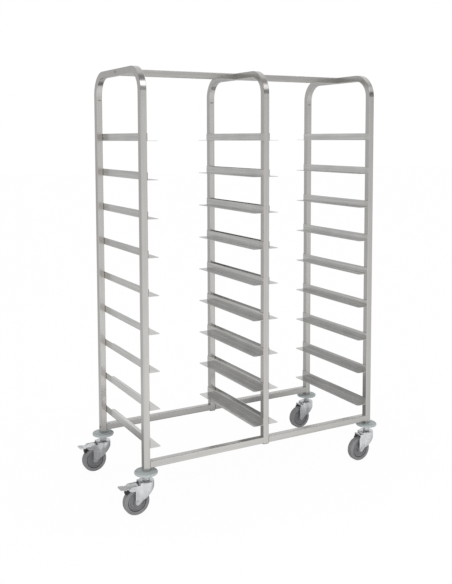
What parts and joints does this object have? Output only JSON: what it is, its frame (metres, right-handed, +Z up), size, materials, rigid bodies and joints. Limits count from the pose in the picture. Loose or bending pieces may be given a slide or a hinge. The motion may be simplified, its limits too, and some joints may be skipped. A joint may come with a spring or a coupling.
{
  "type": "dishwasher basket trolley",
  "caption": "Two-bay stainless trolley of bent square tube with folded sheet runners for dishwasher baskets, on swivel castors with bumper discs and foot brakes.",
  "frame": {"origin": "on the floor under the middle of the middle frame", "axes": "+X across the bays to the right, +Y from front to back, +Z up"},
  "size_m": [1.238, 0.564, 1.723],
  "materials": {
    "satin_steel": "satin brushed stainless steel",
    "runner_steel": "satin stainless sheet",
    "bright_zinc": "bright zinc-plated pressed steel",
    "bolt_steel": "polished stainless bolts and pins",
    "bumper_grey": "matte blue-grey moulded plastic",
    "insert_grey": "dark moulded plug",
    "hub_grey": "moulded grey wheel centre",
    "tyre_grey": "non-marking grey rubber",
    "shoe_black": "black rubber brake shoe"
  },
  "bodies": {
    "frame": {"left_end_frame": "satin_steel", "middle_frame": "satin_steel", "right_end_frame": "satin_steel", "left_top_tie": "satin_steel", "right_top_tie": "satin_steel", "front_left_rail": "satin_steel", "front_right_rail": "satin_steel", "rear_left_rail": "satin_steel", "rear_right_rail": "satin_steel", "left_bay_runners_1": "runner_steel", "left_bay_runners_2": "runner_steel", "left_bay_runners_3": "runner_steel", "left_bay_runners_4": "runner_steel", "left_bay_runners_5": "runner_steel", "left_bay_runners_6": "runner_steel", "left_bay_runners_7": "runner_steel", "left_bay_runners_8": "runner_steel", "left_bay_runners_9": "runner_steel", "right_bay_runners_1": "runner_steel", "right_bay_runners_2": "runner_steel", "right_bay_runners_3": "runner_steel", "right_bay_runners_4": "runner_steel", "right_bay_runners_5": "runner_steel", "right_bay_runners_6": "runner_steel", "right_bay_runners_7": "runner_steel", "right_bay_runners_8": "runner_steel", "right_bay_runners_9": "runner_steel", "frame_bolts": "bolt_steel", "leg_inserts": "insert_grey", "swivel_balls": "bolt_steel", "front_left_bumper": "bumper_grey", "front_left_stem": "bright_zinc", "front_right_bumper": "bumper_grey", "front_right_stem": "bright_zinc", "rear_left_bumper": "bumper_grey", "rear_left_stem": "bright_zinc", "rear_right_bumper": "bumper_grey", "rear_right_stem": "bright_zinc"},
    "front_left_castor": {"front_left_fork": "bright_zinc", "front_left_axle": "bolt_steel", "front_left_brake_pin": "bolt_steel"},
    "front_left_wheel": {"front_left_hub": "hub_grey", "front_left_tyre": "tyre_grey"},
    "front_left_brake": {"front_left_brake_pedal": "bright_zinc", "front_left_brake_shoe": "shoe_black"},
    "front_right_castor": {"front_right_fork": "bright_zinc", "front_right_axle": "bolt_steel"},
    "front_right_wheel": {"front_right_hub": "hub_grey", "front_right_tyre": "tyre_grey"},
    "rear_left_castor": {"rear_left_fork": "bright_zinc", "rear_left_axle": "bolt_steel", "rear_left_brake_pin": "bolt_steel"},
    "rear_left_wheel": {"rear_left_hub": "hub_grey", "rear_left_tyre": "tyre_grey"},
    "rear_left_brake": {"rear_left_brake_pedal": "bright_zinc", "rear_left_brake_shoe": "shoe_black"},
    "rear_right_castor": {"rear_right_fork": "bright_zinc", "rear_right_axle": "bolt_steel"},
    "rear_right_wheel": {"rear_right_hub": "hub_grey", "rear_right_tyre": "tyre_grey"}
  },
  "joints": [
    {"name": "front_left_swivel", "type": "hinge", "parent": "frame", "child": "front_left_castor", "pos_m": [-0.54, -0.236, 0.127], "axis": [0, 0, 1], "continuous": true},
    {"name": "front_left_roll", "type": "hinge", "parent": "front_left_castor", "child": "front_left_wheel", "pos_m": [-0.583, -0.236, 0.052], "axis": [0, 1, 0], "continuous": true},
    {"name": "front_left_brake_press", "type": "hinge", "parent": "front_left_castor", "child": "front_left_brake", "pos_m": [-0.606, -0.236, 0.109], "axis": [0, -1, 0], "range_deg": [0, 7]},
    {"name": "front_right_swivel", "type": "hinge", "parent": "frame", "child": "front_right_castor", "pos_m": [0.54, -0.236, 0.127], "axis": [0, 0, 1], "continuous": true},
    {"name": "front_right_roll", "type": "hinge", "parent": "front_right_castor", "child": "front_right_wheel", "pos_m": [0.497, -0.236, 0.052], "axis": [0, 1, 0], "continuous": true},
    {"name": "rear_left_swivel", "type": "hinge", "parent": "frame", "child": "rear_left_castor", "pos_m": [-0.54, 0.236, 0.127], "axis": [0, 0, 1], "continuous": true},
    {"name": "rear_left_roll", "type": "hinge", "parent": "rear_left_castor", "child": "rear_left_wheel", "pos_m": [-0.583, 0.236, 0.052], "axis": [0, 1, 0], "continuous": true},
    {"name": "rear_left_brake_press", "type": "hinge", "parent": "rear_left_castor", "child": "rear_left_brake", "pos_m": [-0.606, 0.236, 0.109], "axis": [0, -1, 0], "range_deg": [0, 7]},
    {"name": "rear_right_swivel", "type": "hinge", "parent": "frame", "child": "rear_right_castor", "pos_m": [0.54, 0.236, 0.127], "axis": [0, 0, 1], "continuous": true},
    {"name": "rear_right_roll", "type": "hinge", "parent": "rear_right_castor", "child": "rear_right_wheel", "pos_m": [0.497, 0.236, 0.052], "axis": [0, 1, 0], "continuous": true}
  ]
}
